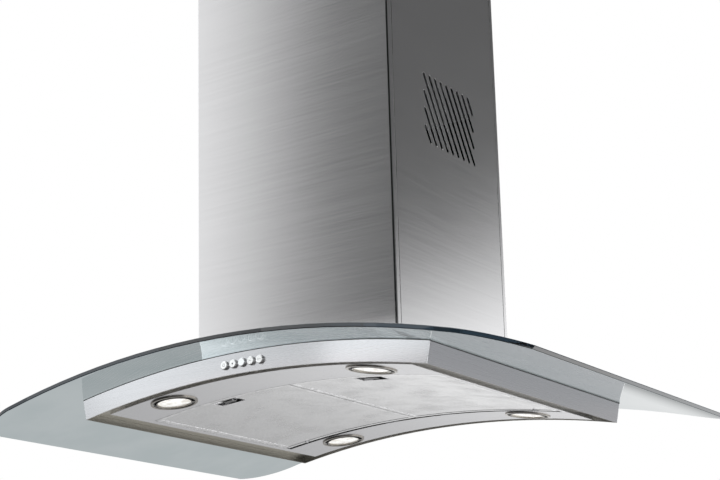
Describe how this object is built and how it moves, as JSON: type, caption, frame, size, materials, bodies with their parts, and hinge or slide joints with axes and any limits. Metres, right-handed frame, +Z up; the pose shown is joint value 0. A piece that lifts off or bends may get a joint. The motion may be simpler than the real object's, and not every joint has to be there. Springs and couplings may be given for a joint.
{
  "type": "island range hood",
  "caption": "Island range hood: arched clear glass canopy over a slim steel body with grease filters, lamps, push buttons and a square telescopic chimney.",
  "frame": {"origin": "centre of the ceiling frame's top face, which lies against the ceiling", "axes": "+Z up, +X to the right seen from the front, +Y from the front (button side) to the rear"},
  "size_m": [0.901, 0.698, 0.7691],
  "materials": {
    "clear_glass": "polished, faint cool tint, bent 6 mm sheet",
    "brushed_steel": "brushed stainless sheet",
    "dark_steel": "brushed stainless, shaded inner frame",
    "galvanised": "dull zinc-coated sheet",
    "chrome": "polished",
    "mesh_aluminium": "layered expanded mesh",
    "frame_aluminium": "satin, rolled",
    "frosted_lens": "frosted white",
    "bulb_glass": "frosted capsule",
    "rubber": "matt black",
    "black_plastic": "moulded, fine grain",
    "grey_plastic": "moulded, fine grain",
    "board": "green solder resist",
    "motor_enamel": "black enamel",
    "screw_zinc": "bright zinc plate",
    "capacitor_shell": "glossy white shell"
  },
  "bodies": {
    "ceiling": {"ceiling_frame": "galvanised", "upper_uprights": "galvanised", "upper_chimney_front": "brushed_steel", "upper_chimney_rear": "brushed_steel", "frame_screws": "screw_zinc"},
    "hood": {"glass_canopy": "clear_glass", "glass_gasket_lower": "rubber", "glass_gasket_upper": "rubber", "glass_bushings": "black_plastic", "glass_clamp_bolts": "screw_zinc", "body_front_panel": "brushed_steel", "body_rear_panel": "brushed_steel", "body_left_panel": "brushed_steel", "body_right_panel": "brushed_steel", "body_top_deck": "dark_steel", "body_rim_frame": "dark_steel", "lamp_panel": "brushed_steel", "filter_hinge_pins": "screw_zinc", "lamp_front_left_ring": "chrome", "lamp_front_left_lens": "frosted_lens", "lamp_front_right_ring": "chrome", "lamp_front_right_lens": "frosted_lens", "lamp_rear_left_ring": "chrome", "lamp_rear_left_lens": "frosted_lens", "lamp_rear_right_ring": "chrome", "lamp_rear_right_lens": "frosted_lens", "lamp_housings": "dark_steel", "lamp_bulbs": "bulb_glass", "switch_block": "black_plastic", "control_board": "board", "chimney_front_cover": "brushed_steel", "chimney_rear_cover": "brushed_steel", "chimney_left_cover": "brushed_steel", "chimney_right_cover": "brushed_steel", "lower_uprights": "galvanised", "clamp_screws": "screw_zinc", "blower_base_plate": "galvanised", "motor_box": "galvanised", "scroll_housing": "galvanised", "motor": "motor_enamel", "outlet_collar": "black_plastic", "damper_pin": "screw_zinc", "terminal_box": "grey_plastic", "capacitor": "capacitor_shell"},
    "button_light": {"button_light": "chrome"},
    "button_stop": {"button_stop": "chrome"},
    "button_speed_1": {"button_speed_1": "chrome"},
    "button_speed_2": {"button_speed_2": "chrome"},
    "button_speed_3": {"button_speed_3": "chrome"},
    "filter_left": {"filter_left_frame": "frame_aluminium", "filter_left_mesh": "mesh_aluminium", "filter_left_latch_housing": "frame_aluminium"},
    "filter_right": {"filter_right_frame": "frame_aluminium", "filter_right_mesh": "mesh_aluminium", "filter_right_latch_housing": "frame_aluminium"},
    "latch_left": {"filter_left_latch": "brushed_steel"},
    "latch_right": {"filter_right_latch": "brushed_steel"},
    "impeller": {"impeller": "grey_plastic"},
    "flap_front": {"damper_flap_front": "grey_plastic"},
    "flap_rear": {"damper_flap_rear": "grey_plastic"}
  },
  "joints": [
    {"name": "height_slide", "type": "slide", "parent": "ceiling", "child": "hood", "axis": [0, 0, -1], "range_m": [0, 0.16]},
    {"name": "button_light_press", "type": "slide", "parent": "hood", "child": "button_light", "axis": [0, 1, 0], "range_m": [0, 0.002], "stiffness_N_per_m": 400, "springref_m": -0.0008},
    {"name": "button_stop_press", "type": "slide", "parent": "hood", "child": "button_stop", "axis": [0, 1, 0], "range_m": [0, 0.002], "stiffness_N_per_m": 400, "springref_m": -0.0008},
    {"name": "button_speed_1_press", "type": "slide", "parent": "hood", "child": "button_speed_1", "axis": [0, 1, 0], "range_m": [0, 0.002], "stiffness_N_per_m": 400, "springref_m": -0.0008},
    {"name": "button_speed_2_press", "type": "slide", "parent": "hood", "child": "button_speed_2", "axis": [0, 1, 0], "range_m": [0, 0.002], "stiffness_N_per_m": 400, "springref_m": -0.0008},
    {"name": "button_speed_3_press", "type": "slide", "parent": "hood", "child": "button_speed_3", "axis": [0, 1, 0], "range_m": [0, 0.002], "stiffness_N_per_m": 400, "springref_m": -0.0008},
    {"name": "filter_left_hinge", "type": "hinge", "parent": "hood", "child": "filter_left", "pos_m": [-0.22801, 0.1635, -0.74389], "axis": [1, 0, 0], "range_deg": [0, 75]},
    {"name": "filter_right_hinge", "type": "hinge", "parent": "hood", "child": "filter_right", "pos_m": [0.22801, 0.1635, -0.74389], "axis": [1, 0, 0], "range_deg": [0, 75]},
    {"name": "filter_left_latch_slide", "type": "slide", "parent": "filter_left", "child": "latch_left", "axis": [0, 1, 0], "range_m": [0, 0.005], "stiffness_N_per_m": 300, "springref_m": -0.002},
    {"name": "filter_right_latch_slide", "type": "slide", "parent": "filter_right", "child": "latch_right", "axis": [0, 1, 0], "range_m": [0, 0.005], "stiffness_N_per_m": 300, "springref_m": -0.002},
    {"name": "impeller_spin", "type": "hinge", "parent": "hood", "child": "impeller", "pos_m": [0, 0, -0.572], "axis": [1, 0, 0], "continuous": true},
    {"name": "flap_front_swing", "type": "hinge", "parent": "hood", "child": "flap_front", "pos_m": [0, 0, -0.4158], "axis": [-1, 0, 0], "range_deg": [0, 80]},
    {"name": "flap_rear_swing", "type": "hinge", "parent": "hood", "child": "flap_rear", "pos_m": [0, 0, -0.4158], "axis": [1, 0, 0], "range_deg": [0, 80]}
  ]
}
